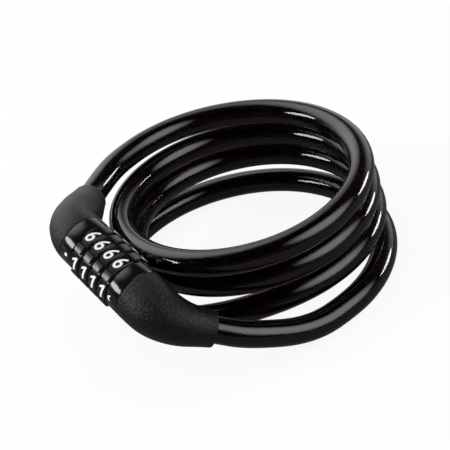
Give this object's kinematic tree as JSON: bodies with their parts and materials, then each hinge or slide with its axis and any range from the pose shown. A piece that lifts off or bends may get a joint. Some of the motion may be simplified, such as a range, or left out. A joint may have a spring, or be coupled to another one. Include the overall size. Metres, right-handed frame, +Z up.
{
  "type": "bicycle cable lock",
  "caption": "Self-coiling steel cable lock: smoked plastic cover, moulded elbow on a pull-out plug, digit dials between glossy collars, and a sleeve on the fixed end.",
  "frame": {"origin": "middle of the flat under the lowest turn, at the back of the coil, where the lock lies on a surface", "axes": "+Z up, +Y towards the back of the coil, so that the dials lie to the left and in front of the origin; +X to the right"},
  "size_m": [0.1288, 0.125, 0.0534],
  "materials": {
    "barrel_steel": "turned",
    "pin_steel": "ground",
    "ring_brass": "turned",
    "rope_steel": "stranded",
    "crimp_aluminium": "crimped",
    "collar_plastic": "glossy",
    "dial_plastic": "glossy",
    "sleeve_plastic": "fine grain",
    "cover_plastic": "smoked, glossy",
    "mark_paint": "white"
  },
  "bodies": {
    "lock_body": {"barrel": "barrel_steel", "plug_side_collar": "collar_plastic", "cable_side_collar": "collar_plastic", "collar_pin": "pin_steel", "detent_strip": "pin_steel", "spring_washer": "pin_steel", "index_dot": "mark_paint", "index_crescent": "mark_paint", "cable_ferrule": "crimp_aluminium", "cable_cross_pin": "pin_steel", "cable_sleeve": "sleeve_plastic", "cable_rope_end": "rope_steel", "cable_coil": "cover_plastic", "cable_lead": "cover_plastic"},
    "plug": {"plug_pin": "pin_steel", "plug_cross_pin": "pin_steel", "plug_ferrule": "crimp_aluminium", "plug_elbow": "sleeve_plastic", "plug_rope_end": "rope_steel"},
    "dial_ring_1": {"dial_1": "dial_plastic", "clutch_ring_1": "ring_brass"},
    "dial_ring_2": {"dial_2": "dial_plastic", "clutch_ring_2": "ring_brass"},
    "dial_ring_3": {"dial_3": "dial_plastic", "clutch_ring_3": "ring_brass"},
    "dial_ring_4": {"dial_4": "dial_plastic", "clutch_ring_4": "ring_brass"}
  },
  "joints": [
    {"name": "plug_slide", "type": "slide", "parent": "lock_body", "child": "plug", "axis": [-0.4804, 0.8221, 0.3057], "range_m": [0, 0.028], "deforming": ["cable_lead"]},
    {"name": "dial_1_turn", "type": "hinge", "parent": "lock_body", "child": "dial_ring_1", "pos_m": [-0.04817, -0.08538, 0.03705], "axis": [0.4804, -0.8221, -0.3057], "continuous": true},
    {"name": "dial_2_turn", "type": "hinge", "parent": "lock_body", "child": "dial_ring_2", "pos_m": [-0.04817, -0.08538, 0.03705], "axis": [0.4804, -0.8221, -0.3057], "continuous": true},
    {"name": "dial_3_turn", "type": "hinge", "parent": "lock_body", "child": "dial_ring_3", "pos_m": [-0.04817, -0.08538, 0.03705], "axis": [0.4804, -0.8221, -0.3057], "continuous": true},
    {"name": "dial_4_turn", "type": "hinge", "parent": "lock_body", "child": "dial_ring_4", "pos_m": [-0.04817, -0.08538, 0.03705], "axis": [0.4804, -0.8221, -0.3057], "continuous": true}
  ]
}
